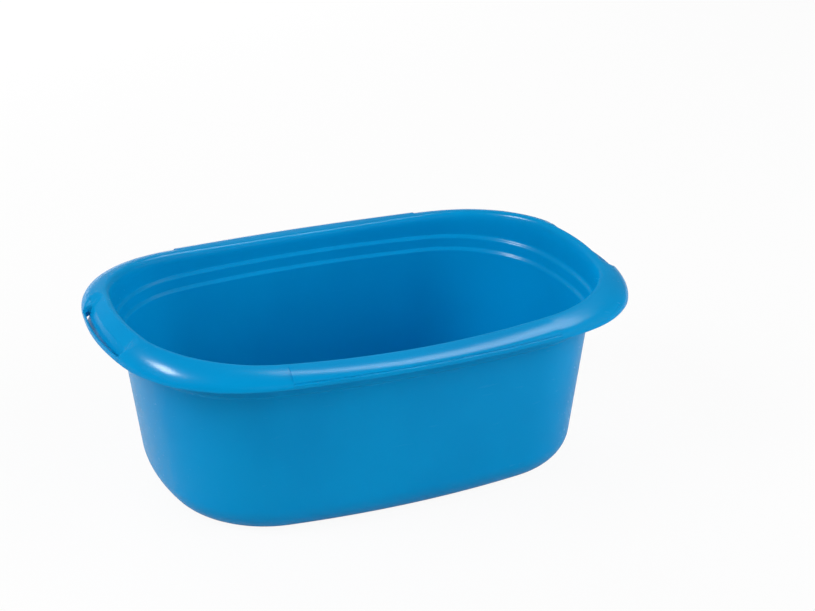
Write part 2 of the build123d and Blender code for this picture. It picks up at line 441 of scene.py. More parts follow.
class Value:
    """A shader socket that takes part in Python sums; each sum adds a Math node."""

    def __init__(self, graph: "Graph", socket: bpy.types.NodeSocket) -> None:
        """Wrap a socket of a graph."""
        self.graph = graph
        self.socket = socket

    def _maths(self, operation: str, first: "Value | float", second: "Value | float") -> "Value":
        """Return the result of a Math node on two values."""
        return self.graph.node("ShaderNodeMath", {0: first, 1: second}, operation=operation)

    def __add__(self, other: "Value | float") -> "Value":
        """Return self + other."""
        return self._maths("ADD", self, other)

    def __radd__(self, other: float) -> "Value":
        """Return other + self."""
        return self._maths("ADD", other, self)

    def __sub__(self, other: "Value | float") -> "Value":
        """Return self - other."""
        return self._maths("SUBTRACT", self, other)

    def __rsub__(self, other: float) -> "Value":
        """Return other - self."""
        return self._maths("SUBTRACT", other, self)

    def __mul__(self, other: "Value | float") -> "Value":
        """Return self * other."""
        return self._maths("MULTIPLY", self, other)

    def __rmul__(self, other: float) -> "Value":
        """Return other * self."""
        return self._maths("MULTIPLY", other, self)

    def above(self, low: float, high: float) -> "Value":
        """Return a soft mask that is 0 below low and 1 above high.

        Args:
            low: start of the rise.
            high: end of the rise.

        Returns:
            The mask.
        """
        sockets = {"Value": self, "From Min": low, "From Max": high}
        return self.graph.node(
            "ShaderNodeMapRange", sockets, interpolation_type="SMOOTHSTEP", clamp=True)


class Graph:
    """Nodes of one material or world."""

    def __init__(self, owner: bpy.types.Material | bpy.types.World) -> None:
        """Start from an empty tree in a material or a world.

        Args:
            owner: the material or world that gets the nodes.
        """
        owner.use_nodes = True
        self.tree = owner.node_tree
        self.tree.nodes.clear()

    def node(self, kind: str, sockets: dict | None = None, output: int | str = 0,
             **settings: object) -> Value:
        """Add a node.

        Args:
            kind: the node's type.
            sockets: values or Value links by socket name or number.
            output: which output to return.
            settings: properties of the node, set first.

        Returns:
            The chosen output.
        """
        made = self.tree.nodes.new(kind)
        for name, value in settings.items():
            setattr(made, name, value)
        for name, value in (sockets or {}).items():
            if isinstance(value, Value):
                self.tree.links.new(value.socket, made.inputs[name])
            else:
                made.inputs[name].default_value = value
        return Value(self, made.outputs[output] if made.outputs else None)


@dataclass(frozen=True)
class MouldedPlastic:
    """Satin polypropylene: even colour, very fine moulded grain and faint rub marks."""

    name: str = "blue_polypropylene"
    colour: tuple[float, float, float] = (0.0, 0.260, 0.562)
    deep_colour: tuple[float, float, float] = (0.0, 0.236, 0.525)
    cloud_scale: float = 9.0
    cloud_detail: float = 3.0
    cloud_tint: Span = (0.35, 0.7)
    cloud_gloss: float = 0.06
    roughness: float = 0.22
    rub_scale: tuple[float, float, float] = (26.0, 340.0, 300.0)
    rub_turn: tuple[float, float, float] = (0.3, 0.5, 0.9)
    rub_detail: float = 4.0
    rub_harshness: float = 0.6
    rub_range: Span = (0.58, 0.74)
    rubbed: float = 0.08
    rub_depth: float = 0.06
    foot_heights: Span = (0.0004, 0.0035)
    foot_rubbed: float = 0.22
    grain_scale: float = 1700.0
    grain_detail: float = 2.0
    grain: float = 0.05
    wave_scale: float = 38.0
    wave_detail: float = 1.0
    wave: float = 0.9
    relief_height: float = 0.00006
    relief_strength: float = 0.55
    refraction: float = 1.49
    reflection: float = 0.06

    def build(self) -> bpy.types.Material:
        """Return the material.

        Base colour drifts slowly between two blues, as pigment does in a moulding.
        Roughness is a constant plus a broad cloud and fine straight rub marks, more on
        the foot. Bump is a fine grain with a faint waviness that gloss picks up.

        Returns:
            The new material.
        """
        material = bpy.data.materials.new(self.name)
        graph = Graph(material)
        place = graph.node("ShaderNodeTexCoord", output="Object")
        cloud = self.noise(graph, place, self.cloud_scale, self.cloud_detail)
        fine = self.noise(graph, place, self.grain_scale, self.grain_detail)
        wave = self.noise(graph, place, self.wave_scale, self.wave_detail)
        stretched = graph.node("ShaderNodeMapping", {
            "Vector": place, "Scale": self.rub_scale, "Rotation": self.rub_turn})
        marks = self.noise(graph, stretched, 1.0, self.rub_detail, self.rub_harshness)
        marks = marks.above(*self.rub_range)
        height = graph.node("ShaderNodeSeparateXYZ", {"Vector": place}, "Z")
        foot = 1.0 - height.above(*self.foot_heights)
        colours = {MIX_SHARE: cloud.above(*self.cloud_tint), MIX_FIRST: (*self.colour, 1.0),
                   MIX_SECOND: (*self.deep_colour, 1.0)}
        tint = graph.node("ShaderNodeMix", colours, MIX_COLOUR, data_type="RGBA")
        rough = self.roughness + (cloud - 0.5) * self.cloud_gloss
        rough = rough + marks * self.rubbed + foot * self.foot_rubbed
        relief = fine * self.grain + wave * self.wave + marks * self.rub_depth
        bump = graph.node("ShaderNodeBump", {
            "Height": relief, "Distance": self.relief_height, "Strength": self.relief_strength})
        surface = graph.node("ShaderNodeBsdfPrincipled", {
            "Base Color": tint, "Roughness": rough, "Normal": bump, "IOR": self.refraction,
            "Specular IOR Level": self.reflection})
        graph.node("ShaderNodeOutputMaterial", {"Surface": surface})
        return material

    def noise(self, graph: Graph, place: Value, scale: float, detail: float,
              harshness: float = 0.5) -> Value:
        """Return a noise; its harshness is how strong the finer layers of detail are."""
        return graph.node("ShaderNodeTexNoise", {
            "Vector": place, "Scale": scale, "Detail": detail, "Roughness": harshness})


# The bowl

@dataclass(frozen=True)
class RimPlan:
    """Lengths that the wall and the rim share."""

    opening: Oval = Oval(189.0, 120.0, 93.0)
    height: float = 141.0
    end_rise: float = 9.2
    seam_depth: float = 2.6
    skirt_drop: float = 7.7
    inset: float = 6.4
    base: Oval = Oval(162.8, 108.4, 79.0)
    step_drops: Span = (26.3, 16.4)
    step_rise: float = 2.2
    step_width: float = 2.3
    crest: float = 1.2
    flare_start: float = 1.6
    flare_rise: float = 0.62
    flare_reach: float = 6.3
    flare_lead: float = 0.004
    seam_share: float = 0.6
    wall: float = 2.0
    width: float = 19.6
    thickness: float = 2.0
    slimming: float = 3.0
    slim_zone: Span = (math.radians(6.0), math.radians(33.0))
    swelling: float = 1.3
    swell_zone: Span = (math.radians(28.0), math.radians(44.0))
    settle_zone: Span = (math.radians(56.0), math.radians(76.0))
    witness_turn: float = math.radians(82.45)
    step: float = 3.2
    fine_step: float = 0.45
    grip_zone: Span = (math.radians(13.0), math.radians(28.0))

    def edge_height(self, turns: Array) -> Array:
        """Return the height of the inner rim edge, one long arc seen from the side.

        Args:
            turns: directions of the columns.

        Returns:
            Heights, shape (columns,).
        """
        radius = (self.opening.half_length**2 + self.end_rise**2) / (2 * self.end_rise)
        x = self.opening.points(turns)[:, 0]
        return self.height + radius - np.sqrt(radius**2 - x**2)

    def edge(self, turns: Array) -> Array:
        """Return the inner rim edge in space."""
        return self.opening.points(turns) + self.edge_height(turns)[:, None] * UP

    def drop(self, turns: Array) -> Array:
        """Return how far the level lower edge of the skirt lies below the inner edge."""
        return self.edge_height(turns) - (self.height - self.skirt_drop)

    def reach(self, turns: Array) -> Array:
        """Return how far outward the skirt stands: slim at the grips, full at the corners.

        Args:
            turns: directions of the columns.

        Returns:
            Distances from the inner edge, shape (columns,).
        """
        lean = lean_angle(turns)
        slim = self.slimming * (1 - smooth(*self.slim_zone, lean))
        full = smooth(*self.swell_zone, lean) * (1 - smooth(*self.settle_zone, lean))
        return self.width - slim + self.swelling * full

    def wall_point(self, turns: Array, height: float, shift: float) -> Array:
        """Return points of the drafted wall, interpolated between foot and top outlines.

        Args:
            turns: directions of the columns.
            height: height of the points.
            shift: distance outward from the outside of the wall.

        Returns:
            Points, shape (columns, 3).
        """
        top = self.opening.grown(-self.inset).points(turns)
        foot = self.base.points(turns)
        return foot + (top - foot) * height / self.height + shift * outward(turns) + height * UP

    def flare(self, turns: Array, crest: Array, shares: Array) -> Array:
        """Return rows of the wall's flare from above the upper step to the rim's crest.

        It is a cubic that leaves the wall upright and reaches the crest level.

        Args:
            turns: directions of the columns.
            crest: how far outward the crest lies at each column.
            shares: places along the cubic, from 0 at the step to 1 at the crest.

        Returns:
            Rows, shape (columns, len(shares), 3).
        """
        foot = self.flare_foot(turns)
        top = self.edge(turns) + crest[:, None] * outward(turns)
        lower = foot + (top - foot) * self.flare_rise * UP
        upper = top - self.flare_reach * outward(turns)
        return cubic((foot, lower, upper, top), shares)

    def flare_foot(self, turns: Array) -> Array:
        """Return the points where the flare starts, a little above the upper step."""
        height = self.height - self.step_drops[1] + self.step_rise + self.flare_start
        return self.wall_point(turns, height, 2 * self.step_width - self.wall)

    def flare_shares(self, low: float, high: float, count: int) -> Array:
        """Return places along the flare, with one very close to each end.

        Args:
            low: first share.
            high: last share.
            count: number of shares, without the two close ones.

        Returns:
            Shares, shape (count + 2,).
        """
        inner = np.linspace(low, high, count)
        near = [low + self.flare_lead], [high - self.flare_lead]
        return np.concatenate([[low], near[0], inner[1:-1], near[1], [high]])

    def lift(self, turns: Array, section: Array) -> Array:
        """Return a section, given outward and up from the inner edge, in space.

        A point is the inner edge's point, plus the outward distance along the normal,
        plus the distance up.

        Args:
            turns: directions of the columns.
            section: shape (columns, rows, 2).

        Returns:
            Rows in space, shape (columns, rows, 3).
        """
        out = section[:, :, :1] * outward(turns)[:, None]
        return self.edge(turns)[:, None] + out + section[:, :, 1:] * UP

    def side_turns(self, middle: float) -> Array:
        """Return the columns of one long side, centred on a direction."""
        half = math.pi / 2 - self.witness_turn
        return spread_turns(middle - half, middle + half, self.opening, self.step, self.step, ())

    def end_turns(self, middle: float) -> Array:
        """Return the columns of one end, closer together where the grip ends.

        Args:
            middle: direction of the middle of the end.

        Returns:
            Directions from one witness line to the other.
        """
        low, high = self.grip_zone
        zones = ((middle + low, middle + high), (middle - high, middle - low))
        start, stop = middle - self.witness_turn, middle + self.witness_turn
        return spread_turns(start, stop, self.opening, self.step, self.fine_step, zones)

    def all_turns(self) -> Array:
        """Return the columns of the whole rim, once round, ends included.

        Returns:
            Directions from the first witness line round to itself.
        """
        parts = [self.end_turns(0.0), self.side_turns(math.pi / 2),
                 self.end_turns(math.pi), self.side_turns(3 * math.pi / 2)]
        return np.concatenate([parts[0]] + [part[1:] for part in parts[1:]])


def with_ghosts(turns: Array) -> Array:
    """Return directions with one more at each end, for the differences there."""
    return np.concatenate([[2 * turns[0] - turns[1]], turns, [2 * turns[-1] - turns[-2]]])


@dataclass
class Tub:
    """Floor, drafted wall with two steps, and the flare up to the seam under the rim."""

    plan: RimPlan
    floor: float = 2.4
    foot_height: float = 1.2
    foot_width: float = 5.0
    base_round: float = 23.8
    base_steps: int = 14
    step_round: float = 1.1
    soft_round: float = 2.9
    soft_zone: Span = (math.radians(30.0), math.radians(66.0))
    step_steps: int = 5
    neck_drop: float = 4.4
    neck_round: float = 1.2
    flare_rows: int = 14
    pad_radius: float = 7.0
    pad_height: float = 0.7
    pad_hub: float = 0.5
    edge_round: float = 0.4
    edge_steps: int = 3
    lead: float = 0.3
    floor_hub: float = 0.04
    floor_lead: float = 3.0
    floor_parts: int = 3

    def foot_arc(self, turns: Array, inward: float, floor: float) -> Array:
        """Return the rounding between floor and wall: a ball rolled along both.

        The ball's centre lies one radius above the floor and one radius inside the
        leaning wall. Its track is the envelope of the wall's inward offset: its distance
        along the normal is h and its distance along the tangent is dh / dturn.

        Args:
            turns: directions of the columns.
            inward: how far this surface lies inside the wall's outside.
            floor: height of the floor that it meets.

        Returns:
            Rows from the floor to the wall, shape (columns, base_steps + 1, 3).
        """
        radius = self.base_round - inward
        normal, tangent = outward(turns), along(turns)
        foot = self.plan.base.points(turns)
        rise = (self.plan.opening.grown(-self.plan.inset).points(turns) - foot) / self.plan.height
        lean = np.sum(rise * normal, axis=1)
        twist = np.sum(rise * tangent, axis=1)
        slant = np.sqrt(1 + lean**2)
        level = floor + radius
        out = np.sum(foot * normal, axis=1) - inward + lean * level - radius * slant
        aside = np.sum(foot * tangent, axis=1) + twist * level - radius * lean * twist / slant
        centre = out[:, None] * normal + aside[:, None] * tangent + level * UP
        wall = (normal - lean[:, None] * UP) / slant[:, None]
        down = np.broadcast_to(-UP, wall.shape)
        angle = np.arccos(np.clip(np.sum(wall * down, axis=1, keepdims=True), -1, 1))
        return centre[:, None] + radius * swing(down, wall, angle, self.base_steps)

    def step_corners(self, turns: Array, start: Array, shift: float) -> list[Array]:
        """Return the corners of the wall from the top of its foot's rounding up.

        Args:
            turns: directions of the columns.
            start: points where the foot's rounding ends.
            shift: distance outward from the outside of the wall.

        Returns:
            The corners, each of shape (columns, 3).
        """
        plan = self.plan
        corners = [start]
        for drop in plan.step_drops:
            height = plan.height - drop
            corners.append(plan.wall_point(turns, height, shift))
            shift += plan.step_width
            corners.append(plan.wall_point(turns, height + plan.step_rise, shift))
        return corners

    def step_radii(self, turns: Array) -> list[float | Array]:
        """Return the steps' corner radii: crisp along the sides, soft at the ends.

        Args:
            turns: directions of the columns.

        Returns:
            One radius per column for each corner, shape (columns, 1).
        """
        crisp = smooth(*self.soft_zone, lean_angle(turns)[:, None])
        radius = self.soft_round + (self.step_round - self.soft_round) * crisp
        return [radius] * (2 * len(self.plan.step_drops))

    def outer_rows(self, turns: Array, start: Array) -> Array:
        """Return the outside of the wall: two steps, the neck and the seam.

        Args:
            turns: directions of the columns.
            start: points where the foot's rounding ends.

        Returns:
            Rows, shape (columns, rows, 3).
        """
        plan = self.plan
        corners = self.step_corners(turns, start, 0.0)
        lid = plan.opening.grown(plan.wall).points(turns)
        corners.append(lid + (plan.height - self.neck_drop) * UP)
        corners.append(lid + (plan.edge_height(turns) - plan.seam_depth)[:, None] * UP)
        radii = self.step_radii(turns) + [self.neck_round]
        return chain(corners, radii, self.step_steps, self.lead)

    def inner_rows(self, turns: Array, start: Array) -> Array:
        """Return the inside of the wall: two steps and the flare up to the seam.

        Args:
            turns: directions of the columns.
            start: points where the floor's rounding ends.

        Returns:
            Rows, shape (columns, rows, 3).
        """
        plan = self.plan
        corners = self.step_corners(turns, start, -plan.wall) + [plan.flare_foot(turns)]
        steps = chain(corners, self.step_radii(turns), self.step_steps, self.lead)[:, :-1]
        crest = np.full(len(turns), plan.crest)
        shares = plan.flare_shares(0.0, plan.seam_share, self.flare_rows)
        return np.concatenate([steps, plan.flare(turns, crest, shares)], axis=1)

    def skin(self) -> Skin:
        """Return the whole tub as one surface, from the pole below to the pole above.

        Returns:
            The surface, with creases at the seam under the rim.
        """
        turns = self.plan.all_turns()
        around = np.concatenate([[turns[-2] - 2 * math.pi], turns, [turns[1] + 2 * math.pi]])
        ring = self.plan.base.grown(-self.base_round - self.foot_width).points(around)
        circle = self.pad_radius * outward(around)
        low, pocket = (self.foot_height - self.pad_height) * UP, self.foot_height * UP
        floor = self.foot_height + self.floor
        outer_foot = self.foot_arc(around, 0.0, 0.0)
        inner_foot = self.foot_arc(around, self.plan.wall, floor)
        under = [circle * self.pad_hub + low, circle + low, circle + pocket, ring + pocket, ring,
                 outer_foot[:, 0]]
        radii = [self.edge_round] * (len(under) - 2)
        below = chain(under, radii, self.edge_steps, self.lead)[:, :-1]
        outer = self.outer_rows(around, outer_foot[:, -1])
        inner = self.inner_rows(around, inner_foot[:, -1])
        edge = inner_foot[:, 0]
        hub = edge * np.array([self.floor_hub, self.floor_hub, 1.0])
        level = straight(edge, hub, self.floor_lead, self.floor_parts)
        parts = [below, outer_foot[:, :-1], outer, inner[:, ::-1], inner_foot[:, -2::-1], level]
        rows = np.concatenate(parts, axis=1)
        creases = np.zeros(rows.shape[1], bool)
        seam = sum(part.shape[1] for part in parts[:3])
        creases[[seam - 1, seam]] = True
        return Skin(rows, around, creases, round_bowl=True)

    def build(self, material: bpy.types.Material) -> bpy.types.Object:
        """Return the dressed tub."""
        return make_piece("tub", "tub_shell", [self.skin()], material)


def chain(corners: list[Array], radii: list[float | Array], steps: int, lead: float) -> Array:
    """Return rows along a line of corners, each rounded, with rows close to each arc.

    Args:
        corners: points per column, each of shape (columns, d).
        radii: radius at each inner corner.
        steps: number of parts of each arc.
        lead: distance of the close rows from the arcs.

    Returns:
        Rows from the first corner to the last, shape (columns, rows, d).
    """
    pieces = [corners[0][:, None]]
    last = corners[0]
    for before, corner, after, radius in zip(corners, corners[1:], corners[2:], radii):
        arc = round_corner(before, corner, after, radius, steps)
        pieces += [straight(last, arc[:, 0], lead), arc]
        last = arc[:, -1]
    pieces += [straight(last, corners[-1], lead), corners[-1][:, None]]
    return np.concatenate(pieces, axis=1)


def between(start: Array, stop: Array, count: int) -> Array:
    """Return rows evenly between two points, without both ends."""
    shares = (np.arange(count) + 1)[None, :, None] / (count + 1)
    return start[:, None] + (stop - start)[:, None] * shares


class Side(Enum):
    """The two long sides."""

    BACK = ("rim_back", math.pi / 2)
    FRONT = ("rim_front", 3 * math.pi / 2)


class End(Enum):
    """The two ends."""

    RIGHT = ("rim_grip_right", 0.0)
    LEFT = ("rim_grip_left", math.pi)


@dataclass
class RimSection:
    """Rolled section of the rim, drawn outward and up from the inner edge."""

    plan: RimPlan
    fullness: float = 0.47
    slope: float = 0.0
    skirt: float = 1.4
    lower_round: float = 0.5
    edge_lead: float = 0.15
    roll_start: float = 0.9
    crown_lead: float = 0.05
    foot_lead: float = 0.02
    ledge: float = 0.0
    hem: float = 0.0

    def hidden(self, turns: Array) -> Array:
        """Return the rows under the rim, from the seam out to the inside of the skirt.

        Args:
            turns: directions of the columns.

        Returns:
            Rows, shape (columns, rows, 2).
        """
        plan, count = self.plan, len(turns)
        drop, inside = plan.drop(turns), plan.reach(turns) - plan.thickness
        crown = pair(plan.wall, -plan.thickness, count)
        foot = pair(inside - self.ledge, self.hem - drop, count)
        rows = [
            pair(plan.wall, -plan.seam_depth, count)[:, None],
            pair(plan.wall, -plan.thickness - self.crown_lead, count)[:, None],
            roll(crown, foot, self.fullness, self.slope, HIDDEN_STEPS)[:, 1:],
            pair(inside, self.foot_lead - drop, count)[:, None],
        ]
        return np.concatenate(rows, axis=1)

    def flank(self, turns: Array) -> Array:
        """Return the rows of the lower part: round the skirt's edge and up to the roll.

        Args:
            turns: directions of the columns.

        Returns:
            Rows, shape (columns, rows, 2).
        """
        plan, count = self.plan, len(turns)
        drop, out = plan.drop(turns), plan.reach(turns)
        corners = [pair(out - plan.thickness / 2, -drop, count), pair(out, -drop, count),
                   pair(out, self.skirt - drop, count)]
        return chain(corners, [self.lower_round], CORNER_STEPS, self.edge_lead)[:, :-2]

    def visible(self, turns: Array) -> Array:
        """Return the rows from below the skirt's edge over the roll to the crest.

        Args:
            turns: directions of the columns.

        Returns:
            Rows, shape (columns, rows, 2).
        """
        plan, count = self.plan, len(turns)
        start = self.hem - plan.drop(turns) + self.roll_start
        foot = pair(plan.reach(turns) - self.ledge, start, count)
        crest = pair(plan.crest, 0.0, count)
        over = roll(crest, foot, self.fullness, self.slope, ROLL_STEPS)[:, ::-1]
        return np.concatenate([self.flank(turns), over], axis=1)


@dataclass
class HemmedSection(RimSection):
    """Rolled section that stands back behind an upright hem along its lower edge."""

    fullness: float = 0.5
    roll_start: float = 0.3
    edge_lead: float = 0.12
    hem: float = 3.1
    hem_round: float = 0.45
    ledge: float = 1.5
    ledge_round: float = 0.35
    ledge_rise: float = 1.0

    def flank(self, turns: Array) -> Array:
        """Return the rows of the hem: round its edge, up, over its top and to the roll.

        Args:
            turns: directions of the columns.

        Returns:
            Rows, shape (columns, rows, 2).
        """
        plan, count = self.plan, len(turns)
        drop, out = plan.drop(turns), plan.reach(turns)
        top = self.hem - drop
        corners = [
            pair(out - plan.thickness / 2, -drop, count),
            pair(out, -drop, count),
            pair(out, top, count),
            pair(out - self.ledge, top, count),
            pair(out - self.ledge, top + self.ledge_rise, count),
        ]
        radii = [self.lower_round, self.hem_round, self.ledge_round]
        return chain(corners, radii, CORNER_STEPS, self.edge_lead)[:, :-2]


def close_section(plan: RimPlan, turns: Array, visible: Array,
                  hidden: Array) -> tuple[Array, Array]:
    """Return the closed section of a rim in space, and its creases.

    Args:
        plan: lengths shared with the wall.
        turns: directions of the columns.
        visible: rows up to the crest, outward and up from the inner edge.
        hidden: rows under the rim, from the seam outward.

    Returns:
        Rows in space, shape (columns, rows, 3), and which rows are creases.
    """
    shares = plan.flare_shares(plan.seam_share, 1.0, INSIDE_STEPS)
    inside = plan.flare(turns, visible[:, -1, 0], shares)[:, -2::-1]
    rows = np.concatenate([plan.lift(turns, visible), inside, plan.lift(turns, hidden)], axis=1)
    creases = np.zeros(rows.shape[1], bool)
    seam = visible.shape[1] + inside.shape[1]
    creases[[0, seam - 1, seam, seam + 1, rows.shape[1] - 1]] = True
    return rows, creases


@dataclass
class SideRim:
    """Rim of one long side, with an upright hem along its lower edge."""

    plan: RimPlan
    side: Side

    def build(self, material: bpy.types.Material) -> bpy.types.Object:
        """Return the dressed rim of this side.

        Args:
            material: the moulded finish.

        Returns:
            The new object.
        """
        node, middle = self.side.value
        turns = with_ghosts(self.plan.side_turns(middle))
        section = HemmedSection(self.plan)
        rows, creases = close_section(
            self.plan, turns, section.visible(turns), section.hidden(turns))
        return make_piece(f"rolled_{node}", node, [Skin(rows, turns, creases)], material)


@dataclass
class GripRim:
    """Rim of one end: a scoop, a slot and a thin outer lip in the rolled rim."""

    plan: RimPlan
    end: End
    half_length: float = 43.0
    end_slope: float = 0.2
    ramp_before: float = 2.5
    ramp_after: float = 8.0
    visible_end: Span = (-0.3, 0.6)
    hidden_end: Span = (2.8, 3.6)
    nose_zone: float = 1.5
    foot_out: float = 4.1
    foot_spread: float = 0.8
    spread_zone: Span = (8.0, 32.0)
    foot_down: float = 2.8
    foot_round: float = 0.4
    foot_fade: Span = (1.0, 0.2)
    scoop_start: float = 0.8
    nose_out: float = 8.5
    nose_drop: float = 8.1
    nose_round: float = 1.6
    nose_steps: int = 8
    wall_rows: int = 10
    crest_round: float = 0.9
    crest_steps: int = 6
    crest_width: float = 4.0
    slot_foot: float = 9.27
    slot_outer: float = 14.8
    slot_middle: float = 12.0
    slot_round: float = 2.8
    knee_out: float = -1.93
    knee_up: float = -0.87
    lip_height: float = 3.6
    lip_rise: float = 1.2
    lip_draft: float = 0.15
    lip_overlap: float = 1.2
    lip_sunk: float = 0.06
    sink_zone: Span = (0.2, 0.6)
    lip_rounds: tuple[float, ...] = (0.3, 0.6, 0.55, 0.3)
    lip_lead: float = 0.12

    def run(self, turns: Array, out: float | Array) -> Array:
        """Return how far points at some distance outward lie from the middle of the grip."""
        y = self.plan.opening.points(turns)[:, 1:2]
        return np.abs(y + out * np.sin(turns)[:, None])

    def slot_share(self, turns: Array) -> Array:
        """Return how far the slot has closed: 0 along it, 1 at its rounded ends.

        It is 1 - sqrt(1 - s * s) over the last few millimetres, a quarter ellipse.

        Args:
            turns: directions of the columns.

        Returns:
            Shares, shape (columns,).
        """
        reach = self.run(turns, self.slot_middle)[:, 0]
        share = np.clip((reach - self.half_length + self.slot_round) / self.slot_round, 0, 1)
        return 1 - np.sqrt(1 - share**2)

    def closing(self, turns: Array) -> Array:
        """Return how far the slot's inner wall moves outward at its rounded ends."""
        return (self.slot_middle - self.slot_foot) * self.slot_share(turns)

    def build(self, material: bpy.types.Material) -> bpy.types.Object:
        """Return the dressed rim of this end.

        The natural rolled section and the scooped one have the same rows. Each row goes
        from the scooped place to the natural one along the grip's end: at once below the
        nose, and along a leaning end above it.

        Args:
            material: the moulded finish.

        Returns:
            The new object.
        """
        node, middle = self.end.value
        plan = self.plan
        turns = with_ghosts(plan.end_turns(middle))
        section = RimSection(plan, slope=self.end_slope)
        natural, under = section.visible(turns), section.hidden(turns)
        scoop, below = self.scooped(turns), self.below(turns)
        visible = scoop + (natural - scoop) * self.blend(turns, scoop, self.visible_end)
        hidden = below + (under - below) * self.blend(turns, below, self.hidden_end)
        rows, creases = close_section(plan, turns, visible, hidden)
        skins = [Skin(rows, turns, creases), self.lip(middle)]
        return make_piece(f"rolled_{node}", node, skins, material)

    def blend(self, turns: Array, scoop: Array, end: Span) -> Array:
        """Return how natural each point is: 0 along the grip, 1 past its end.

        The change is short below the nose, at the slot's end wall, and grows to a soft
        ramp above it.

        Args:
            turns: directions of the columns.
            scoop: scooped rows.
            end: where the change starts and stops below the nose, past the grip's end.

        Returns:
            Shares, shape (columns, rows, 1).
        """
        run = self.run(turns, scoop[:, :, 0])
        above = smooth(-self.nose_zone, self.nose_zone, scoop[:, :, 1] + self.nose_drop)
        low = self.half_length + end[0] - self.ramp_before * above
        high = self.half_length + end[1] + self.ramp_after * above
        return smooth(low, high, run)[:, :, None]

    def scooped(self, turns: Array) -> Array:
        """Return the scoop's visible rows: foot of the slot wall, nose, slope and crest.

        Args:
            turns: directions of the columns.

        Returns:
            Rows, shape (columns, rows, 2).
        """
        count = len(turns)
        out, down = self.foot_at(turns)
        foot = pair(out, down, count)
        inner = pair(out - self.plan.thickness / 2, down, count)
        nose = pair(self.nose_out + self.closing(turns), -self.nose_drop, count)
        crest = pair(self.scoop_start, 0.0, count)
        edge = pair(self.scoop_start - self.crest_width, 0.0, count)
        around = chain([inner, foot, nose], [self.foot_round], CORNER_STEPS,
                       RimSection.edge_lead)[:, :-2]
        arc = round_corner(foot, nose, crest, self.nose_round, self.nose_steps)
        top = round_corner(nose, crest, edge, self.crest_round, self.crest_steps)
        wall = between(around[:, -1], arc[:, 0], self.wall_rows)
        slope_rows = ROLL_STEPS + 1 - arc.shape[1] - top.shape[1] - self.wall_rows
        slope = between(arc[:, -1], top[:, 0], slope_rows)
        return np.concatenate([around, wall, arc, slope, top], axis=1)

    def foot_at(self, turns: Array) -> tuple[Array, Array]:
        """Return where the slot's inner wall ends: set outward, and below the skirt.

        Args:
            turns: directions of the columns.

        Returns:
            How far outward and how far up from the inner edge it ends at each column.
        """
        run = self.run(turns, self.slot_middle)[:, 0]
        start, stop = (self.half_length - lead for lead in self.foot_fade)
        share = 1 - smooth(start, stop, run)
        out = self.foot_out + self.foot_spread * smooth(*self.spread_zone, run)
        out = self.slot_foot + self.closing(turns) + out * share
        return out, -self.plan.drop(turns) - self.foot_down * share

    def below(self, turns: Array) -> Array:
        """Return the hidden rows under the scoop, row for row with the natural ones.

        Args:
            turns: directions of the columns.

        Returns:
            Rows, shape (columns, rows, 2).
        """
        plan, count = self.plan, len(turns)
        nose = pair(self.nose_out + self.closing(turns), -self.nose_drop, count)
        crest = pair(self.scoop_start, 0.0, count)
        gradient = unit(nose - crest)
        under = crest + np.stack([gradient[:, 1], -gradient[:, 0]], axis=1) * plan.thickness
        hip = under + gradient * (plan.wall - under[:, :1]) / gradient[:, :1]
        knee = nose + np.array([self.knee_out, self.knee_up])
        out, down = self.foot_at(turns)
        ankle = pair(out - plan.thickness, down + RimSection.foot_lead, count)
        wall = pair(plan.wall, -plan.seam_depth, count)
        half = HIDDEN_STEPS // 2
        rows = [wall[:, None], hip[:, None], between(hip, knee, half), knee[:, None],
                between(knee, ankle, half - 1), ankle[:, None]]
        return np.concatenate(rows, axis=1)

    def lip(self, middle: float) -> Skin:
        """Return the thin outer lip, which flares out to the skirt at both ends.

        Args:
            middle: direction of the middle of the end.

        Returns:
            The surface of the lip.
        """
        plan = self.plan
        every = plan.end_turns(middle)
        reach = self.run(every, self.slot_middle)[:, 0]
        turns = with_ghosts(every[reach < self.half_length + self.lip_overlap])
        count = len(turns)
        past = self.run(turns, self.slot_middle)[:, 0] - self.half_length
        sunk = self.lip_sunk * smooth(*self.sink_zone, past)
        closing = self.slot_share(turns)
        outer = plan.reach(turns) - sunk
        inner = self.slot_outer + (self.slot_middle - self.slot_outer) * closing
        low = sunk - plan.drop(turns)
        high = self.lip_height + self.lip_rise * closing - plan.drop(turns)
        bottom = pair((inner + outer) / 2, low, count)
        corners = [bottom, pair(outer, low, count), pair(outer - self.lip_draft, high, count),
                   pair(inner, high, count), pair(inner, low, count), bottom]
        rows = chain(corners, list(self.lip_rounds), CORNER_STEPS, self.lip_lead)[:, :-1]
        return Skin(plan.lift(turns, rows), turns, np.zeros(rows.shape[1], bool))


# Studio and camera

def direction(azimuth: float, elevation: float) -> Vector:
    """Return the unit vector at an azimuth from the X axis and an elevation, in degrees.

    Args:
        azimuth: angle from the X axis, seen from above.
        elevation: angle above the floor.

    Returns:
        The unit vector.
    """
    across, up = math.radians(azimuth), math.radians(elevation)
    return Vector((math.cos(across) * math.cos(up), math.sin(across) * math.cos(up),
                   math.sin(up)))


@dataclass(frozen=True)
class Softbox:
    """A rectangular lamp that faces the bowl, placed by its direction from it, in metres."""

    name: str
    azimuth: float
    elevation: float
    distance: float
    size: Span
    power: float
    sheen: bool = False
    aim_height: float = 0.1

    def build(self) -> None:
        """Add the lamp at its azimuth and elevation, in degrees, turned to the bowl.

        A sheen lamp shows only in gloss, the others only light the surface.
        """
        light = bpy.data.lights.new(self.name, "AREA")
        light.shape = "RECTANGLE"
        light.size, light.size_y = self.size
        light.energy = self.power
        lamp = add_object(self.name, light)
        away = direction(self.azimuth, self.elevation)
        lamp.visible_diffuse = not self.sheen
        lamp.visible_glossy = self.sheen
        lamp.location = away * self.distance + Vector(UP) * self.aim_height
        lamp.rotation_euler = (-away).to_track_quat("-Z", "Y").to_euler()


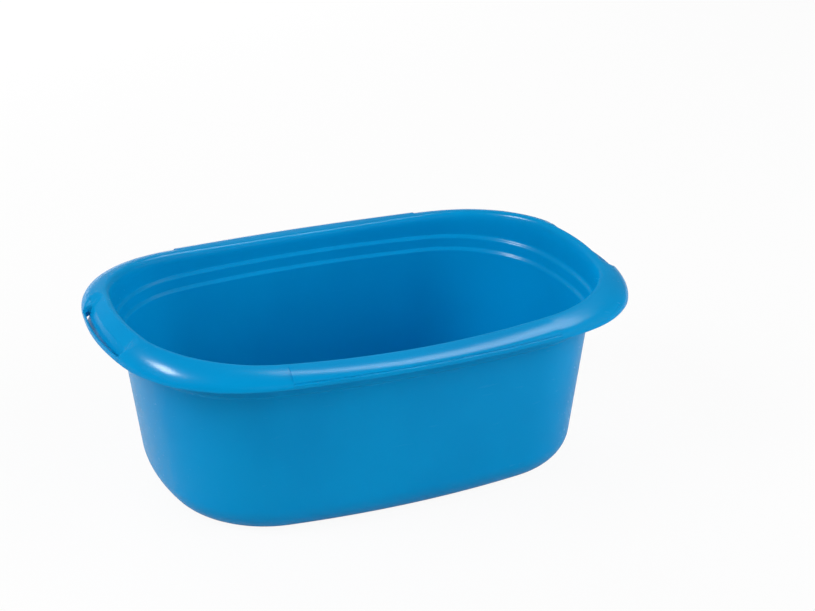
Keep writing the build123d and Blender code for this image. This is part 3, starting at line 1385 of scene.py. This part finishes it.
@dataclass(frozen=True)
class Studio:
    """Pale sweep, white surroundings and soft lamps."""

    ambient: float = 0.15
    floor_colour: tuple[float, ...] = (0.68, 0.68, 0.68, 1.0)
    floor_white: float = 0.93
    mirrored: float = 0.1
    reach: float = 6.0
    lamps: tuple[Softbox, ...] = (
        Softbox("left_box", 180.0, 35.0, 2.2, (1.3, 1.3), 39.0),
        Softbox("back_box", 90.0, 14.0, 2.2, (1.3, 1.3), 38.0),
        Softbox("right_box", -35.0, 24.0, 2.2, (2.4, 1.6), 40.0),
        Softbox("front_box", -90.0, 35.0, 2.2, (1.3, 1.3), 10.0),
        Softbox("rear_right_sheen", 27.0, 59.0, 2.2, (1.2, 0.6), 48.0, True),
        Softbox("rear_left_sheen", 157.0, 53.0, 2.2, (0.6, 0.45), 118.0, True),
    )

    def build(self) -> None:
        """Add the floor, the surroundings and the lamps."""
        world = bpy.data.worlds.new("surroundings")
        bpy.context.scene.world = world
        graph = Graph(world)
        strength = self.ambient + (1.0 - self.ambient) * self.direct(graph)
        light = graph.node("ShaderNodeBackground", {"Color": WHITE, "Strength": strength})
        graph.node("ShaderNodeOutputWorld", {"Surface": light})
        self.floor()
        for lamp in self.lamps:
            lamp.build()

    def direct(self, graph: Graph) -> Value:
        """Return 1 for the camera's and clear rays, and a share of it for gloss.

        Satin plastic would turn grey where it mirrored a fully white room.

        Args:
            graph: nodes to add to.

        Returns:
            The share of white that a ray sees.
        """
        camera, glossy, clear = (
            graph.node("ShaderNodeLightPath", output=f"Is {kind} Ray")
            for kind in ("Camera", "Glossy", "Transmission"))
        return camera + clear + glossy * self.mirrored

    def floor(self) -> None:
        """Add the floor, nearly white to the camera but with the bowl's soft shadow."""
        mesh = bpy.data.meshes.new("floor")
        r = self.reach
        mesh.from_pydata([(-r, -r, 0), (r, -r, 0), (r, r, 0), (-r, r, 0)], [], [(0, 1, 2, 3)])
        material = bpy.data.materials.new("pale_floor")
        graph = Graph(material)
        matt = graph.node("ShaderNodeBsdfDiffuse", {"Color": self.floor_colour})
        bright = graph.node("ShaderNodeEmission", {"Color": WHITE, "Strength": 1.0})
        share = self.direct(graph) * self.floor_white
        mixed = graph.node("ShaderNodeMixShader", {0: share, 1: matt, 2: bright})
        graph.node("ShaderNodeOutputMaterial", {"Surface": mixed})
        mesh.materials.append(material)
        add_object("floor", mesh)


@dataclass(frozen=True)
class PhotoCamera:
    """Camera at the photograph's angle: above the front left corner."""

    azimuth: float = -114.874
    elevation: float = 23.546
    roll: float = 0.666
    distance: float = 1465.613
    focal_pixels: float = 1897.246
    frame_pixels: float = 815.0
    shift_right: float = 38.448
    shift_up: float = 49.904
    look_height: float = 70.5
    sensor: float = 36.0
    clip: Span = (0.05, 50.0)

    def build(self) -> None:
        """Add the camera from its angles, distance and sideways offsets."""
        back = direction(self.azimuth, self.elevation)
        level = Vector(UP).cross(back).normalized()
        turn = Matrix.Rotation(math.radians(self.roll), 3, back)
        right, up = turn @ level, turn @ back.cross(level)
        place = back * self.distance + right * self.shift_right + up * self.shift_up
        place += Vector(UP) * self.look_height
        data = bpy.data.cameras.new("photo_camera")
        data.sensor_fit = "HORIZONTAL"
        data.sensor_width = self.sensor
        data.lens = self.focal_pixels * self.sensor / self.frame_pixels
        data.clip_start, data.clip_end = self.clip
        camera = add_object("photo_camera", data)
        matrix = Matrix((right, up, back)).transposed().to_4x4()
        matrix.translation = place * METRES
        camera.matrix_world = matrix
        bpy.context.scene.camera = camera


def main() -> None:
    """Build the bowl, the studio and the camera."""
    logging.basicConfig(level=logging.INFO, format="%(name)s: %(message)s")
    material = MouldedPlastic().build()
    plan = RimPlan()
    pieces = [Tub(plan).build(material)]
    pieces += [SideRim(plan, side).build(material) for side in Side]
    pieces += [GripRim(plan, end).build(material) for end in End]
    for piece in pieces:
        LOG.info("%s: %d faces", piece.name, len(piece.data.polygons))
    Studio().build()
    PhotoCamera().build()
    scene = bpy.context.scene
    scene.view_settings.view_transform = "Standard"


if __name__ == "__main__":
    main()
